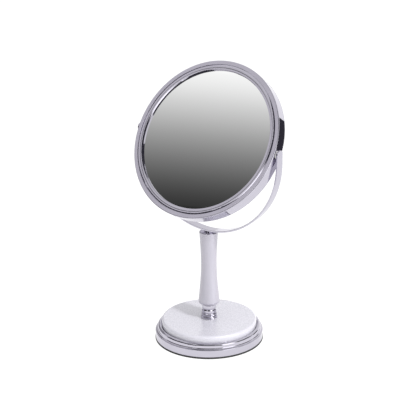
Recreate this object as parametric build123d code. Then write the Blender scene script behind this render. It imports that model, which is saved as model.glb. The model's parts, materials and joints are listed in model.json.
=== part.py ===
from build123d import *
import math
import os

# Free-standing double-sided vanity mirror on a turned pedestal.
# Origin: centre of the base's underside.  +Z is up, the plane mirror faces -Y and leans back,
# and the head turns about a pivot line along X between the two legs of a U-shaped yoke.

# ---- mirror head -------------------------------------------------------------------------
head_radius = 88.2         # outside of the rim band
head_depth = 15.4          # from one bezel's face to the other's
head_lean = 32.9           # how far the plane mirror leans back at rest, degrees
band_gauge = 1.0           # sheet of the rim band
seam_angle = -54.0         # where the rim band's ends meet, round from +X, degrees
seam_width = 0.5
front_proud = 0.5          # how far the front bezel stands out past the rim band
rear_proud = 0.1
bezel_flank = 1.4          # height of a bezel's outer edge
bezel_round = 0.9
bezel_edge = 0.2           # rounding of its lower edge
band_face = 4.7            # width of a bezel's outer band
band_fall = 0.14           # how far that band slopes away outwards
groove_width = 0.45
groove_depth = 1.3
groove_edge = 0.25
bead_width = 5.85          # rounded bead between the groove and the glass
bead_curve = 7.4           # its radius in section
bead_offset = 3.5          # its crown's distance from its inner edge
bead_drop = 0.2            # its crown below the outer band
sight_depth = 2.4            # from the bezel's face down to the glass
sight_cover = 1.95           # how far the bead reaches over the glass
glass_gauge = 3.0          # plane mirror
rear_gauge = 1.8           # magnifying mirror
rear_dish = 2.65           # depth of the magnifying mirror's hollow face
pad_gauge = 1.0            # foam behind the plane mirror
pad_inset = 3.5
rear_pad_width = 8.0       # foam ring behind the magnifying mirror
rear_pad_inset = 10.0
plate_gauge = 1.5          # carrier plate between the mirrors

# ---- yoke and pivots ---------------------------------------------------------------------
strip_width = 10.0
strip_gauge = 1.9
strip_edge = 0.35          # rounding along the strip's edges
leg_corner = 3.8           # rounding of the leg ends
leg_above_pivot = 5.0
pivot_above_arc = 10.5     # pivot line above the centre of the yoke's bend
leg_gap = 1.4              # rim band to the inside of a leg
pin_radius = 2.5
bush_radius = 4.4
bush_reach = 0.8           # how far a bush stands out of the rim band
washer_radius = 4.3
washer_gauge = 0.5

# ---- stem and neck -----------------------------------------------------------------------
stem_waist_radius = 8.7
stem_waist_rise = 50.1     # waist above the sleeve's lower end
stem_top_radius = 10.35
stem_hip_radius = 11.75
stem_hip_rise = 4.4
stem_round = 4.1           # rounding under the hip
hip_slant = (-0.10, 1)     # direction of the sleeve's side at the hip, (outwards, up)
top_slant = (0.055, 1)     # and at the top
stem_height = 85.5         # length of the pearl sleeve
core_radius = 5.1          # steel tube in the sleeve
core_bore = 3.4
socket_radius = 7.0        # wider bore at the sleeve's top
socket_depth = 27.4
neck_top_radius = 7.1
neck_foot_radius = 9.1
neck_height = 16.1
neck_coves = ((2.6, 4.3), (5.8, 7.9), (10.0, 12.6))  # turned grooves, heights above its foot
neck_cove_depth = 0.55
neck_cove_round = 0.9
neck_rib_round = 0.45
neck_edge = 0.4
cap_radius = 9.3
cap_gauge = 0.6
cap_edge = 0.4
cap_plug_depth = 6.0
cap_plug_edge = 0.5
boss_radius = 5.0
boss_height = 1.5          # from the cap to the yoke's lowest point
stud_length = 16.0
rod_radius = 3.0           # tie rod through base, neck and stem
rod_above_core = 10.0
rod_edge = 0.5
coupling_flats = 11.0
coupling_height = 20.0

# ---- base --------------------------------------------------------------------------------
base_radius = 60.0         # outside of the base's wall
wall_height = 8.3          # chrome wall above the foot ring
wall_edge = 0.3
wall_shoulder = 0.7        # rounding at the top of the wall
shell_gauge = 1.6
ledge_width = 2.5          # step between the wall and the collar
collar_width = 3.6         # rounded ring beside the inlay
collar_height = 6.3
collar_cove = 1.9          # hollow between the step and the collar
collar_round = 2.7         # rounding of its outer shoulder
collar_lip = 0.6           # and of its inner one
seat_rise = 0.4            # inlay seat above the top of the wall
inlay_gap = 1.0            # groove between the collar and the inlay
inlay_height = 12.4
inlay_edge = 2.4
inlay_foot_edge = 0.5
foot_height = 1.9
foot_width = 13.0
foot_proud = 0.3           # how far the soft foot ring stands out past the wall
foot_edge = 0.3
cover_gauge = 1.5
access_radius = 12.0       # hole in the cover for reaching the nut
ballast_bore = 15.0
base_washer_radius = 9.0
base_washer_gauge = 1.2
lock_radius = 5.2
lock_gauge = 1.2
lock_split = 1.0
nut_flats = 10.0
nut_height = 3.2
rod_below_nut = 0.7
gasket_gauge = 0.4
gasket_inset = 0.5

# ---- clearances --------------------------------------------------------------------------
pin_clearance = 0.05       # running fit, pivot pin in its bush
washer_clearance = 0.1     # bush to friction washer
bush_fit = 0.02            # bush in the carrier ring
band_bore_fit = 0.15       # bush through the rim band
rod_clearance = 0.2        # tie rod through washers, base, neck
thread_fit = 0.04
glass_clearance = 0.5      # glass inside the carrier ring
plate_clearance = 0.2
sheet_clearance = 0.15     # carrier ring inside the rim band
core_clearance = 0.3       # steel tube in the sleeve
cover_clearance = 0.4      # cover and ballast inside the base's wall
plug_clearance = 0.1
run_past = 1.0             # how far a bore's cutter runs past the metal

# ---- heights and radii that follow -------------------------------------------------------
wall_top = foot_height + wall_height
seat_top = wall_top + seat_rise
floor_under = seat_top - shell_gauge
collar_outer = base_radius - ledge_width
collar_inner = collar_outer - collar_width
inlay_radius = collar_inner - inlay_gap
inlay_top = seat_top + inlay_height
neck_bottom = inlay_top + gasket_gauge
neck_top = neck_bottom + neck_height
stem_bottom = neck_top + gasket_gauge
stem_top = stem_bottom + stem_height
socket_floor = stem_top - socket_depth
cap_top = stem_top + cap_gauge
yoke_low = cap_top + boss_height
rod_hole = rod_radius + rod_clearance
wall_inner = base_radius - shell_gauge
cover_radius = wall_inner - cover_clearance
cover_top = foot_height + cover_gauge
coupling_top = socket_floor + coupling_height

leg_inner = head_radius + leg_gap
leg_outer = leg_inner + strip_gauge
arc_centre = yoke_low + leg_outer
pivot_height = arc_centre + pivot_above_arc
leg_top = pivot_height + leg_above_pivot

face = head_depth / 2
glass_seat = face - sight_depth
bezel_radius = head_radius + front_proud
bezel_base = face - bezel_flank
groove_outer = bezel_radius - band_face
groove_inner = groove_outer - groove_width
bead_inner = groove_inner - bead_width
glass_radius = bead_inner + sight_cover
rear_curve = (glass_radius**2 + rear_dish**2) / (2 * rear_dish)
ring_inner = glass_radius + glass_clearance
band_inner = head_radius - band_gauge
ring_outer = band_inner - sheet_clearance
plate_front = glass_seat - glass_gauge - pad_gauge
plate_rear = plate_front - plate_gauge
bush_outer_end = head_radius + bush_reach
bush_inner_end = ring_inner + plate_clearance
washer_inner_end = bush_outer_end + washer_clearance


def turned(outline):
    """Solid of revolution about Z from corners (radius, height, rounding)."""
    corners = [(radius, height) for radius, height, rounding in outline]
    roundings = [rounding for radius, height, rounding in outline]
    section = make_face(FilletPolyline(*corners, radius=roundings, close=True))
    return revolve(Plane.XZ * section, Axis.Z)


def ring(inner, outer, low, high, rounding=0):
    """Plain ring or washer standing on the height low."""
    return turned(
        [(inner, low, 0), (outer, low, rounding), (outer, high, rounding), (inner, high, 0)]
    )


def hexagon(flats, bore, low, high):
    """Hexagon nut with a round bore."""
    section = RegularPolygon(flats / 2, 6, major_radius=False) - Circle(bore)
    return Pos(0, 0, low) * extrude(section, high - low)


def along_x(radius, start, end):
    """Cylinder along X between two places."""
    return Pos((start + end) / 2, 0, 0) * Rot(0, 90, 0) * Cylinder(radius, abs(end - start))


def on_head(shape):
    """Takes a piece from the head's own axes (Z out of the plane mirror) to its resting place."""
    return Pos(0, 0, pivot_height) * Rot(90 - head_lean, 0, 0) * shape


def mirrored(shape, side):
    """The +X piece, or its twin on the other side."""
    return shape if side > 0 else mirror(shape, Plane.YZ)


# ---- base pieces -------------------------------------------------------------------------
def base_shell():
    return turned(
        [
            (rod_hole, floor_under, 0),
            (wall_inner, floor_under, 0),
            (wall_inner, foot_height, 0),
            (base_radius, foot_height, wall_edge),
            (base_radius, wall_top, wall_shoulder),
            (collar_outer, wall_top, collar_cove),
            (collar_outer, wall_top + collar_height, collar_round),
            (collar_inner, wall_top + collar_height, collar_lip),
            (collar_inner, seat_top, 0),
            (rod_hole, seat_top, 0),
        ]
    )


def inlay_disc():
    return turned(
        [
            (rod_hole, seat_top, 0),
            (inlay_radius, seat_top, inlay_foot_edge),
            (inlay_radius, inlay_top, inlay_edge),
            (rod_hole, inlay_top, 0),
        ]
    )


def foot_ring():
    outer = base_radius + foot_proud
    return ring(outer - foot_width, outer, 0, foot_height, foot_edge)


def bottom_cover():
    return ring(access_radius, cover_radius, foot_height, cover_top)


def ballast_plate():
    return ring(ballast_bore, cover_radius, cover_top, floor_under)


washer_low = floor_under - base_washer_gauge
lock_low = washer_low - lock_gauge
nut_low = lock_low - nut_height


def lock_washer():
    cut = Pos(lock_radius, 0, lock_low) * Box(2 * lock_radius, lock_split, 4 * lock_gauge)
    return ring(rod_hole, lock_radius, lock_low, washer_low) - cut


# ---- neck and stem pieces ----------------------------------------------------------------
def neck():
    """Flared chrome neck with three turned coves."""
    slope = (neck_foot_radius - neck_top_radius) / neck_height
    outline = [(rod_hole, neck_bottom, 0), (neck_foot_radius, neck_bottom, neck_edge)]
    for low, high in neck_coves:
        for rise, cut, rounding in (
            (low, 0, neck_rib_round),
            ((low + high) / 2, neck_cove_depth, neck_cove_round),
            (high, 0, neck_rib_round),
        ):
            radius = neck_foot_radius - slope * rise - cut
            outline.append((radius, neck_bottom + rise, rounding))
    outline.append((neck_top_radius, neck_top, neck_edge))
    outline.append((rod_hole, neck_top, 0))
    return turned(outline)


def stem_sleeve():
    """Hourglass sleeve: one smooth curve from the hip through the waist to the top."""
    bore = core_radius + core_clearance
    waist = (stem_waist_radius, stem_bottom + stem_waist_rise)
    hip = (stem_hip_radius, stem_bottom + stem_hip_rise)
    top = (stem_top_radius, stem_top)
    foot_radius = stem_hip_radius - stem_round
    side = Spline(hip, waist, top, tangents=[hip_slant, top_slant])
    under = CenterArc((foot_radius, hip[1]), stem_round, 0, -90)
    walls = Polyline(
        top,
        (socket_radius, stem_top),
        (socket_radius, socket_floor),
        (bore, socket_floor),
        (bore, stem_bottom),
        (foot_radius, stem_bottom),
        (foot_radius, hip[1] - stem_round),
    )
    return revolve(Plane.XZ * make_face(side + under + walls), Axis.Z)


def stem_top_cap():
    """Thin chrome lid of the stem with a plug that centres it."""
    plug = socket_radius - plug_clearance
    return turned(
        [
            (rod_hole, stem_top - cap_plug_depth, 0),
            (plug, stem_top - cap_plug_depth, cap_plug_edge),
            (plug, stem_top, 0),
            (cap_radius, stem_top, 0),
            (cap_radius, cap_top, cap_edge),
            (rod_hole, cap_top, 0),
        ]
    )


def yoke_boss():
    """Boss under the yoke, hollowed to the yoke's curve, with the stud below it."""
    boss = ring(0, boss_radius, cap_top, yoke_low + boss_radius)
    hollow = Pos(0, 0, arc_centre) * Rot(90, 0, 0) * Cylinder(leg_outer, boss_radius * 4)
    stud = Pos(0, 0, cap_top - stud_length / 2) * Cylinder(rod_radius, stud_length)
    return boss - hollow + stud


# ---- yoke and pivot pieces ---------------------------------------------------------------
def yoke():
    """Flat strip bent to a U, with rounded leg ends and a hole for each pin."""
    below = Pos(0, -leg_outer / 2) * Rectangle(leg_outer * 2, leg_outer)
    section = (Circle(leg_outer) - Circle(leg_inner)) & below
    rise = leg_top - arc_centre
    for side in (-1, 1):
        middle = side * (leg_inner + leg_outer) / 2
        section += Pos(middle, rise / 2) * Rectangle(strip_gauge, rise)
    strip = Pos(0, 0, arc_centre) * extrude(Plane.XZ * section, strip_width / 2, both=True)
    ends = strip.edges().filter_by(Axis.X).group_by(Axis.Z)[-1]
    strip = fillet(ends, leg_corner)
    rims = [strip.faces().sort_by(Axis.Y)[place].outer_wire().edges() for place in (0, -1)]
    strip = fillet([edge for rim in rims for edge in rim], strip_edge)
    reach = leg_outer + run_past
    return strip - Pos(0, 0, pivot_height) * along_x(pin_radius + bush_fit, -reach, reach)


def pivot_pin():
    pin = along_x(pin_radius, bush_inner_end + plate_clearance, leg_outer)
    return Pos(0, 0, pivot_height) * pin


def friction_washer():
    disc = along_x(washer_radius, washer_inner_end, leg_inner)
    bore = along_x(pin_radius + thread_fit, washer_inner_end - run_past, leg_inner + run_past)
    return Pos(0, 0, pivot_height) * (disc - bore)


# ---- head pieces, in the head's own axes -------------------------------------------------
def pivot_bores(radius):
    return along_x(radius, -bezel_radius, bezel_radius)


def rim_band():
    cutter = Box(4 * band_gauge, seam_width, head_depth)
    seam = Rot(0, 0, seam_angle) * Pos(head_radius, 0, 0) * cutter
    band = ring(band_inner, head_radius, -bezel_base, bezel_base)
    return band - seam - pivot_bores(bush_radius + band_bore_fit)


def carrier_ring():
    body = ring(ring_inner, ring_outer, -glass_seat, glass_seat)
    return body - pivot_bores(bush_radius + bush_fit)


def bead_height(radius):
    """Height of the bezel's rounded bead at a radius."""
    crown_radius = bead_inner + bead_offset
    crown = face - bead_drop
    return crown - bead_curve + math.sqrt(bead_curve**2 - (radius - crown_radius) ** 2)


def bezel(proud):
    """Spun ring: flat outer band, narrow groove, and a rounded bead that ends in a wall at the glass."""
    rim = head_radius + proud
    bead = [(r, bead_height(r)) for r in (bead_inner, bead_inner + bead_offset, groove_inner)]
    groove_floor = face - groove_depth
    section = Polyline(
        bead[0],
        (bead_inner, glass_seat),
        (ring_outer, glass_seat),
        (ring_outer, bezel_base),
        (rim, bezel_base),
        (rim, face - band_fall),
        (groove_outer, face),
        (groove_outer, groove_floor),
        (groove_inner, groove_floor),
        bead[2],
    )
    shape = make_face(section + ThreePointArc(*bead))
    for corner, rounding in (
        ((rim, face - band_fall), bezel_round),
        ((rim, bezel_base), bezel_edge),
        ((groove_outer, face), groove_edge),
    ):
        vertex = shape.vertices().sort_by_distance(corner)[0]
        shape = fillet(vertex, rounding)
    return revolve(Plane.XZ * shape, Axis.Z)


def front_glass():
    return ring(0, glass_radius, glass_seat - glass_gauge, glass_seat)


def front_pad():
    top = glass_seat - glass_gauge
    return ring(0, glass_radius - pad_inset, top - pad_gauge, top)


def carrier_plate():
    return ring(0, ring_inner - plate_clearance, plate_rear, plate_front)


def hollow_face(radius):
    """Height of the magnifying mirror's hollow face at a radius."""
    rim_drop = math.sqrt(rear_curve**2 - glass_radius**2)
    return math.sqrt(rear_curve**2 - radius**2) - rim_drop - glass_seat


def rear_glass():
    """Shallow dished glass, hollow side outwards."""
    stations = (0, glass_radius / 2, glass_radius)
    hollow = [(radius, hollow_face(radius)) for radius in stations]
    back = [(radius, height + rear_gauge) for radius, height in hollow]
    outline = ThreePointArc(*hollow) + Line(hollow[2], back[2])
    outline += ThreePointArc(*reversed(back)) + Line(back[0], hollow[0])
    return revolve(Plane.XZ * make_face(outline), Axis.Z)


def rear_pad():
    outer = glass_radius - rear_pad_inset
    inner = outer - rear_pad_width
    return ring(inner, outer, hollow_face(inner) + rear_gauge, plate_rear)


def pivot_bush():
    body = along_x(bush_radius, bush_inner_end, bush_outer_end)
    start, end = bush_inner_end - run_past, bush_outer_end + run_past
    bore = along_x(pin_radius + pin_clearance, start, end)
    return body - bore


pieces = {
    "foot_ring": foot_ring(),
    "base_shell": base_shell(),
    "ballast_plate": ballast_plate(),
    "bottom_cover": bottom_cover(),
    "inlay_disc": inlay_disc(),
    "base_washer": ring(rod_hole, base_washer_radius, washer_low, floor_under),
    "lock_washer": lock_washer(),
    "base_nut": hexagon(nut_flats, rod_radius + thread_fit, nut_low, lock_low),
    "tie_rod": ring(0, rod_radius, nut_low - rod_below_nut, socket_floor + rod_above_core, rod_edge),
    "neck_gasket": ring(rod_hole, neck_foot_radius - gasket_inset, inlay_top, neck_bottom),
    "neck": neck(),
    "stem_gasket": ring(rod_hole, neck_top_radius - gasket_inset, neck_top, stem_bottom),
    "stem_sleeve": stem_sleeve(),
    "core_tube": ring(core_bore, core_radius, stem_bottom, socket_floor),
    "coupling_nut": hexagon(coupling_flats, rod_radius + thread_fit, socket_floor, coupling_top),
    "stem_top_cap": stem_top_cap(),
    "yoke_boss": yoke_boss(),
    "yoke": yoke(),
    "rim_band": on_head(rim_band()),
    "carrier_ring": on_head(carrier_ring()),
    "carrier_plate": on_head(carrier_plate()),
    "front_bezel": on_head(bezel(front_proud)),
    "rear_bezel": on_head(mirror(bezel(rear_proud), Plane.XY)),
    "front_glass": on_head(front_glass()),
    "front_pad": on_head(front_pad()),
    "rear_glass": on_head(rear_glass()),
    "rear_pad": on_head(rear_pad()),
}
for side, word in ((-1, "left"), (1, "right")):
    pieces["pivot_pin_" + word] = mirrored(pivot_pin(), side)
    pieces["friction_washer_" + word] = mirrored(friction_washer(), side)
    pieces["pivot_bush_" + word] = on_head(mirrored(pivot_bush(), side))

os.makedirs("parts", exist_ok=True)
for name, piece in pieces.items():
    export_step(piece, f"parts/{name}.step")
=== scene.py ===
import json
import math

import bpy
from mathutils import Matrix, Vector


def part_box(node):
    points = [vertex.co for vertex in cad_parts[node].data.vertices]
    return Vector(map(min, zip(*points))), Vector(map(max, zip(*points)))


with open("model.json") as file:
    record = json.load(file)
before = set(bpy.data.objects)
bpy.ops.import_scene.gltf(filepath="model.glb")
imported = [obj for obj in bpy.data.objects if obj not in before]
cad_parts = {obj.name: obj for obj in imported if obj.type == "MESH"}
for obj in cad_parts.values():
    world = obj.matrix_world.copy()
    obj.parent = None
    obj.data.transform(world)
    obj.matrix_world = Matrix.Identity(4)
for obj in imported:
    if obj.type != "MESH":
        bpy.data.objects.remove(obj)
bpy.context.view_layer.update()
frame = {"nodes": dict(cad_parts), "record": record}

# A pedestal vanity mirror in a pale tent: metres, +Z up, the plane mirror faces -Y and leans back.

nodes = frame["nodes"]

# ---- camera ----------------------------------------------------------------------------------
view_azimuth = math.radians(35.4)    # from the front towards +X
view_elevation = math.radians(20.1)
view_distance = 1.6
view_height = 0.1505                 # the camera aims at this height on the stem's axis
view_aside = 0.0016                  # and this far to its right
view_roll = math.radians(0.3)
lens = 126.0
sensor_width = 36.0
farthest = 20.0

head_lean = math.radians(32.9)       # how far the plane mirror leans back in the CAD
face_normal = Vector((0, -math.cos(head_lean), math.sin(head_lean)))

toward_camera = Vector(
    (
        math.sin(view_azimuth) * math.cos(view_elevation),
        -math.cos(view_azimuth) * math.cos(view_elevation),
        math.sin(view_elevation),
    )
)
camera_right = Vector((math.cos(view_azimuth), math.sin(view_azimuth), 0))
camera_up = toward_camera.cross(camera_right)


def make_camera():
    """Places the camera and returns where it stands."""
    data = bpy.data.cameras.new("camera")
    data.lens = lens
    data.sensor_width = sensor_width
    data.clip_end = farthest
    camera = bpy.data.objects.new("camera", data)
    bpy.context.scene.collection.objects.link(camera)
    aim = camera_right * view_aside + Vector((0, 0, view_height))
    right = camera_right * math.cos(view_roll) - camera_up * math.sin(view_roll)
    up = camera_up * math.cos(view_roll) + camera_right * math.sin(view_roll)
    turn = Matrix((right, up, toward_camera)).transposed().to_4x4()
    camera.matrix_world = Matrix.Translation(aim + toward_camera * view_distance) @ turn
    bpy.context.scene.camera = camera
    return camera.matrix_world.translation.copy()


# ---- shader helpers ------------------------------------------------------------------------
class Shader:
    """A material's node tree with short calls for the nodes used here."""

    def __init__(self, name):
        self.material = bpy.data.materials.new(name)
        self.material.use_nodes = True
        self.tree = self.material.node_tree
        self.tree.nodes.clear()
        self.bsdf = self.add("ShaderNodeBsdfPrincipled")
        surface = self.add("ShaderNodeOutputMaterial").inputs["Surface"]
        self.link(self.bsdf.outputs["BSDF"], surface)
        self.place = self.add("ShaderNodeTexCoord").outputs["Object"]

    def add(self, kind, **settings):
        node = self.tree.nodes.new(kind)
        for key, value in settings.items():
            setattr(node, key, value)
        return node

    def link(self, start, end):
        self.tree.links.new(start, end)

    def set(self, **values):
        """Sets inputs by name, with _ for a space."""
        for key, value in values.items():
            self.bsdf.inputs[key.replace("_", " ")].default_value = value

    def noise(self, scale, detail=3.0, stretch=(1, 1, 1)):
        """Noise in object space, finer along an axis with a larger stretch."""
        mapping = self.add("ShaderNodeMapping")
        mapping.inputs["Scale"].default_value = stretch
        self.link(self.place, mapping.inputs["Vector"])
        noise = self.add("ShaderNodeTexNoise")
        noise.inputs["Scale"].default_value = scale
        noise.inputs["Detail"].default_value = detail
        self.link(mapping.outputs["Vector"], noise.inputs["Vector"])
        return noise.outputs["Fac"]

    def spread(self, value, low, high, start=0.35, end=0.65):
        """Maps a noise's middle range to low..high."""
        ramp = self.add("ShaderNodeMapRange")
        ramp.inputs["From Min"].default_value = start
        ramp.inputs["From Max"].default_value = end
        ramp.inputs["To Min"].default_value = low
        ramp.inputs["To Max"].default_value = high
        self.link(value, ramp.inputs["Value"])
        return ramp.outputs["Result"]

    def tint(self, value, first, second):
        """Colour between first and second by a value from 0 to 1."""
        mix = self.add("ShaderNodeMix", data_type="RGBA")
        colour_a, colour_b, mixed = mix.inputs[6], mix.inputs[7], mix.outputs[2]
        colour_a.default_value = (*first, 1)
        colour_b.default_value = (*second, 1)
        self.link(value, mix.inputs["Factor"])
        self.link(mixed, self.bsdf.inputs["Base Color"])

    def roughness(self, value):
        self.link(value, self.bsdf.inputs["Roughness"])

    def bump(self, value, height, strength=1.0):
        bump = self.add("ShaderNodeBump")
        bump.inputs["Distance"].default_value = height
        bump.inputs["Strength"].default_value = strength
        self.link(value, bump.inputs["Height"])
        self.link(bump.outputs["Normal"], self.bsdf.inputs["Normal"])


# ---- materials -----------------------------------------------------------------------------
def chrome(name, haze_low, haze_high):
    """Chrome plating: bright, slightly lilac, with patchy haze and very slight unevenness."""
    s = Shader(name)
    s.set(Metallic=1.0)
    haze = s.spread(s.noise(38, 4), 0, 1)
    s.tint(haze, (0.520, 0.502, 0.572), (0.548, 0.530, 0.602))
    s.roughness(s.spread(s.noise(60, 5), haze_low, haze_high))
    s.bump(s.noise(700, 1), 0.0000004, 0.2)
    return s.material


def silvered_glass():
    """Mirror: clean reflection with faint smudges."""
    s = Shader("silvered_glass")
    s.set(Metallic=1.0)
    s.tint(s.spread(s.noise(9, 2), 0, 1), (0.965, 0.968, 0.966), (0.975, 0.978, 0.976))
    s.roughness(s.spread(s.noise(26, 6), 0.002, 0.012, 0.45, 0.75))
    return s.material


def pearl_gloss():
    """Pearl-white gloss plastic of the inlay: fine flake under a clear coat."""
    s = Shader("pearl_gloss")
    s.set(Metallic=0.0, Coat_Weight=0.45, Coat_Roughness=0.03, Coat_IOR=1.5, Specular_IOR_Level=0.5)
    s.tint(s.spread(s.noise(3200, 1), 0, 1), (0.520, 0.512, 0.566), (0.556, 0.548, 0.602))
    s.roughness(s.spread(s.noise(900, 3), 0.24, 0.30))
    s.bump(s.noise(2600, 1), 0.0000004, 0.06)
    return s.material


def pearl_satin():
    """Satin pearl lacquer of the stem: fine metallic flake under a soft coat."""
    s = Shader("pearl_satin")
    s.set(Metallic=0.35, Coat_Weight=0.5, Coat_Roughness=0.20, Coat_IOR=1.45)
    s.tint(s.spread(s.noise(3600, 1), 0, 1), (0.400, 0.386, 0.440), (0.450, 0.436, 0.492))
    s.roughness(s.spread(s.noise(900, 3), 0.34, 0.40))
    s.bump(s.noise(2600, 1), 0.0000006, 0.1)
    return s.material


def soft_black(name, shade, rough, grain):
    """Moulded black plastic, rubber or foam with a fine grain."""
    worn = shade * 1.5
    uneven = 0.08
    s = Shader(name)
    s.tint(s.spread(s.noise(grain, 4), 0, 1), (shade,) * 3, (worn,) * 3)
    s.roughness(s.spread(s.noise(grain / 3, 3), rough - uneven, rough + uneven))
    s.bump(s.noise(grain * 2, 2), 0.00003, 0.5)
    return s.material


def plated_steel():
    """Zinc-plated steel of the rod, the tube, the nut and the washers."""
    s = Shader("zinc_steel")
    s.set(Metallic=1.0)
    s.tint(s.spread(s.noise(140, 4), 0, 1), (0.50, 0.51, 0.54), (0.66, 0.67, 0.69))
    s.roughness(s.spread(s.noise(300, 4), 0.22, 0.38))
    s.bump(s.noise(700, 3), 0.00001, 0.4)
    return s.material


def machined_brass():
    """Turned brass with fine marks round it."""
    s = Shader("brass")
    s.set(Metallic=1.0)
    s.tint(s.spread(s.noise(90, 3), 0, 1), (0.62, 0.45, 0.20), (0.74, 0.56, 0.28))
    s.roughness(s.spread(s.noise(200, 3, (1, 1, 8)), 0.18, 0.32))
    s.bump(s.noise(500, 2, (1, 1, 10)), 0.00001, 0.4)
    return s.material


def cast_iron():
    """Rough cast ballast."""
    s = Shader("ballast_iron")
    s.set(Metallic=0.8)
    s.tint(s.spread(s.noise(160, 5), 0, 1), (0.05, 0.05, 0.052), (0.11, 0.105, 0.10))
    s.roughness(s.spread(s.noise(220, 4), 0.55, 0.8))
    s.bump(s.noise(350, 4), 0.0001, 0.6)
    return s.material


def natural_nylon():
    """Milky nylon of the pivot bushes and the gaskets."""
    s = Shader("nylon")
    s.set(Subsurface_Weight=0.15, Subsurface_Radius=(0.002, 0.002, 0.002))
    s.tint(s.spread(s.noise(60, 3), 0, 1), (0.70, 0.70, 0.67), (0.78, 0.78, 0.75))
    s.roughness(s.spread(s.noise(240, 3), 0.35, 0.5))
    s.bump(s.noise(500, 2), 0.00001, 0.4)
    return s.material


finishes = {
    "chrome": chrome("chrome", 0.03, 0.06),
    "mirror_glass": silvered_glass(),
    "pearl_inlay": pearl_gloss(),
    "pearl_stem": pearl_satin(),
    "foot_rubber": soft_black("foot_rubber", 0.012, 0.7, 900),
    "cover_plastic": soft_black("cover_plastic", 0.02, 0.5, 1200),
    "frame_plastic": soft_black("frame_plastic", 0.02, 0.45, 1000),
    "foam": soft_black("foam", 0.03, 0.9, 500),
    "zinc_steel": plated_steel(),
    "brass": machined_brass(),
    "ballast_iron": cast_iron(),
    "nylon": natural_nylon(),
}


spun_chrome = chrome("spun_chrome", 0.09, 0.12)
spun_nodes = ("front_bezel", "rear_bezel")


def dress_nodes():
    """Gives each CAD node its finish by its material slot; the spun bezels are a little hazier."""
    for part in frame["record"]["subparts"]:
        mesh = nodes[part["node"]].data
        mesh.materials.clear()
        spun = part["node"] in spun_nodes
        mesh.materials.append(spun_chrome if spun else finishes[part["material_slot"]])


# ---- studio --------------------------------------------------------------------------------
floor_reach = 12.0
floor_white = 0.2
floor_glow = 0.9                     # the table is lit from below as well
grade_depth = 0.9                    # how far behind the glass the graded card seems to stand
grade_reach = 0.985                  # its half height by the glass's apparent one
grade_tilt = math.radians(6)         # it brightens a little to the right
grade_sides = 64
grade_stops = ((0.03, 0.022), (0.27, 0.12), (0.52, 0.34), (0.75, 0.66), (0.96, 1.0))
lamp_aim = Vector((0, 0, 0.1))
lamp_distance = 1.2
tent_turn = 0.78                     # the tent falls to grey above this share of straight up
tent_white = (1, 1, 1, 1)
tent_overhead = (0.45, 0.45, 0.47, 1)
panel_steps = 16


def glowing(name, colour, strength=1.0):
    """Material that shines by itself."""
    material = bpy.data.materials.new(name)
    material.use_nodes = True
    tree = material.node_tree
    tree.nodes.clear()
    glow = tree.nodes.new("ShaderNodeEmission")
    glow.inputs["Color"].default_value = (*colour, 1)
    glow.inputs["Strength"].default_value = strength
    out = tree.nodes.new("ShaderNodeOutputMaterial")
    tree.links.new(glow.outputs["Emission"], out.inputs["Surface"])
    return material


def stage_mesh(name, corners, material, uvs=None):
    """One flat face of the stage."""
    mesh = bpy.data.meshes.new(name)
    mesh.from_pydata([tuple(corner) for corner in corners], [], [tuple(range(len(corners)))])
    if uvs:
        layer = mesh.uv_layers.new(name="UVMap")
        for place, uv in zip(layer.data, uvs):
            place.uv = uv
    mesh.materials.append(material)
    stage = bpy.data.objects.new(name, mesh)
    bpy.context.scene.collection.objects.link(stage)


def make_floor():
    """Plain white table that stays even."""
    material = bpy.data.materials.new("table")
    material.use_nodes = True
    bsdf = material.node_tree.nodes["Principled BSDF"]
    bsdf.inputs["Base Color"].default_value = (floor_white, floor_white, floor_white, 1)
    bsdf.inputs["Roughness"].default_value = 0.9
    bsdf.inputs["Specular IOR Level"].default_value = 0.0
    bsdf.inputs["Emission Color"].default_value = (1, 1, 1, 1)
    bsdf.inputs["Emission Strength"].default_value = floor_glow
    sides = ((-1, -1), (1, -1), (1, 1), (-1, 1))
    corners = [(x * floor_reach, y * floor_reach, 0) for x, y in sides]
    stage_mesh("floor", corners, material)


def graded_card(camera_place):
    """The softbox's edge that the plane mirror reflects: bright above, falling to dark below.

    It is laid out behind the glass as the camera sees it and then reflected in the glass's plane,
    so that it stands where a real card would, in front and above.
    """
    low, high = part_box("front_glass")
    centre = (low + high) / 2
    behind = view_distance + grade_depth
    half = (high - low).x / 2 * behind / view_distance * grade_reach
    middle = camera_place + (centre - camera_place).normalized() * behind
    corners = []
    uvs = []
    seen_up = camera_up * math.cos(grade_tilt) + camera_right * math.sin(grade_tilt)
    for step in range(grade_sides):
        angle = math.tau * step / grade_sides
        rim = face_rim(angle, low, high)
        ray = (rim - camera_place).normalized()
        reach = (middle - camera_place).dot(toward_camera) / ray.dot(toward_camera)
        point = camera_place + ray * reach
        uvs.append((0.5, 0.5 + (point - middle).dot(seen_up) / (2 * half)))
        corners.append(in_glass(point, centre))
    material = bpy.data.materials.new("graded_card")
    material.use_nodes = True
    tree = material.node_tree
    tree.nodes.clear()
    place = tree.nodes.new("ShaderNodeUVMap")
    split = tree.nodes.new("ShaderNodeSeparateXYZ")
    ramp = tree.nodes.new("ShaderNodeValToRGB")
    ramp.color_ramp.interpolation = "B_SPLINE"
    while len(ramp.color_ramp.elements) < len(grade_stops):
        ramp.color_ramp.elements.new(0.5)
    for element, (position, level) in zip(ramp.color_ramp.elements, grade_stops):
        element.position = position
        element.color = (level, level, level, 1)
    glow = tree.nodes.new("ShaderNodeEmission")
    out = tree.nodes.new("ShaderNodeOutputMaterial")
    tree.links.new(place.outputs["UV"], split.inputs["Vector"])
    tree.links.new(split.outputs["Y"], ramp.inputs["Fac"])
    tree.links.new(ramp.outputs["Color"], glow.inputs["Color"])
    tree.links.new(glow.outputs["Emission"], out.inputs["Surface"])
    stage_mesh("graded_card", corners, material, uvs)


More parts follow.
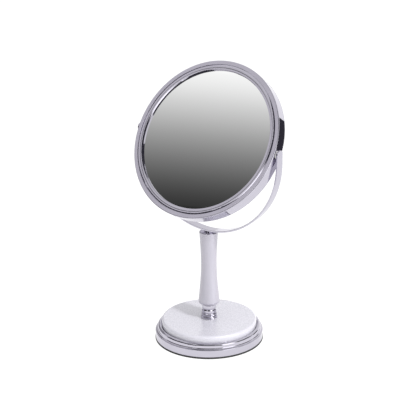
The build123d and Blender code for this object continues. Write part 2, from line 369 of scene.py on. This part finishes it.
def in_glass(point, on_glass):
    """Mirror image of a point in the plane mirror."""
    return point - face_normal * (2 * (point - on_glass).dot(face_normal))


def face_rim(angle, low, high):
    """Point on the glass's edge, in its middle plane, from +X upwards."""
    radius = (high - low).x / 2
    sideways = Vector((1, 0, 0))
    upward = face_normal.cross(sideways)
    return (low + high) / 2 + (sideways * math.cos(angle) + upward * math.sin(angle)) * radius


def disk_light(name, direction, size, power):
    """Round soft light that reaches everything but the polished metal and the mirrors."""
    data = bpy.data.lights.new(name, "AREA")
    data.shape = "DISK"
    data.size = size
    data.energy = power
    lamp = bpy.data.objects.new(name, data)
    bpy.context.scene.collection.objects.link(lamp)
    direction = Vector(direction).normalized()
    lamp.location = lamp_aim + direction * lamp_distance
    lamp.rotation_mode = "QUATERNION"
    lamp.rotation_quaternion = direction.to_track_quat("Z", "Y")
    lit = bpy.data.collections.new(name + "_receivers")
    for part in frame["record"]["subparts"]:
        if part["material_slot"] not in ("chrome", "mirror_glass"):
            lit.objects.link(nodes[part["node"]])
    lit.objects.link(bpy.data.objects["floor"])
    lamp.light_linking.receiver_collection = lit


def make_world():
    """White tent that falls to grey overhead."""
    world = bpy.data.worlds.new("tent")
    world.use_nodes = True
    tree = world.node_tree
    place = tree.nodes.new("ShaderNodeTexCoord")
    split = tree.nodes.new("ShaderNodeSeparateXYZ")
    ramp = tree.nodes.new("ShaderNodeValToRGB")
    white, overhead = ramp.color_ramp.elements
    white.position = tent_turn
    white.color = tent_white
    overhead.color = tent_overhead
    tree.links.new(place.outputs["Generated"], split.inputs["Vector"])
    tree.links.new(split.outputs["Z"], ramp.inputs["Fac"])
    tree.links.new(ramp.outputs["Color"], tree.nodes["Background"].inputs["Color"])
    bpy.context.scene.world = world


def panel(name, start, end, reach, low, high, material):
    """Upright curved card about the stem's axis, seen only in reflections.

    start and end are its sides in degrees to the right of the camera, reach is its distance from
    the axis, low and high are its edges' heights.
    """
    verts = []
    for step in range(panel_steps + 1):
        turn = view_azimuth + math.radians(start + (end - start) * step / panel_steps)
        for height in (low, high):
            verts.append((reach * math.sin(turn), -reach * math.cos(turn), height))
    faces = [(2 * i, 2 * i + 2, 2 * i + 3, 2 * i + 1) for i in range(panel_steps)]
    mesh = bpy.data.meshes.new(name)
    mesh.from_pydata(verts, [], faces)
    mesh.materials.append(material)
    sheet = bpy.data.objects.new(name, mesh)
    bpy.context.scene.collection.objects.link(sheet)
    sheet.visible_camera = False
    sheet.visible_diffuse = False
    sheet.visible_shadow = False


def make_lights():
    disk_light("key", direction=(0.72, -0.11, 0.68), size=0.16, power=10.0)
    disk_light("front", direction=(0.62, -0.75, 0.20), size=0.30, power=1.6)
    disk_light("side", direction=(0.98, 0.11, 0.10), size=0.20, power=2.6)


def make_panels():
    """Flags and softboxes that give the chrome its dark and light bands."""
    dark = glowing("flag", (0.045, 0.043, 0.055))
    dull = glowing("dull_flag", (0.36, 0.355, 0.37))
    grey = glowing("tent_side", (0.80, 0.79, 0.81))
    bright = glowing("tent_back", (1.25, 1.25, 1.25))
    fill = glowing("fill_softbox", (1, 1, 1), 2.1)
    strong = glowing("key_softbox", (1, 1, 1), 2.2)
    # sides in degrees, distance, lower and upper edge
    panel("left_tent", -150, -61, 2.20, 0.0, 3.0, grey)
    panel("back_tent", 128.6, 185, 1.50, 0.0, 0.45, bright)
    panel("back_flag", 106.8, 128.6, 0.65, 0.055, 0.30, dark)
    panel("left_back_flag", -160, -112, 0.50, 0.02, 0.36, dull)
    panel("left_horizon", -98, -60, 0.50, 0.0, 0.317, dark)
    panel("near_horizon", -62, -38, 0.80, 0.0, 0.52, dark)
    panel("front_horizon", -60, 28, 0.80, 0.0, 0.38, dark)
    panel("horizon_step", -26, 12, 0.80, 0.38, 0.60, dark)
    panel("upper_flag", -58, -14, 1.0, 1.0, 2.7, dark)
    panel("centre_flag", -14, 45, 1.0, 1.5, 2.7, dark)
    panel("side_flag", 62, 103, 0.80, 0.15, 0.60, dark)
    panel("fill_softbox", -46, -30, 1.3, 0.75, 1.17, fill)
    panel("key_softbox", 28, 55, 1.0, 0.02, 0.80, strong)


def make_studio():
    make_world()
    make_floor()
    make_lights()
    graded_card(make_camera())
    make_panels()


dress_nodes()
make_studio()

scene = bpy.context.scene
scene.view_settings.view_transform = "Standard"
scene.view_settings.look = "None"
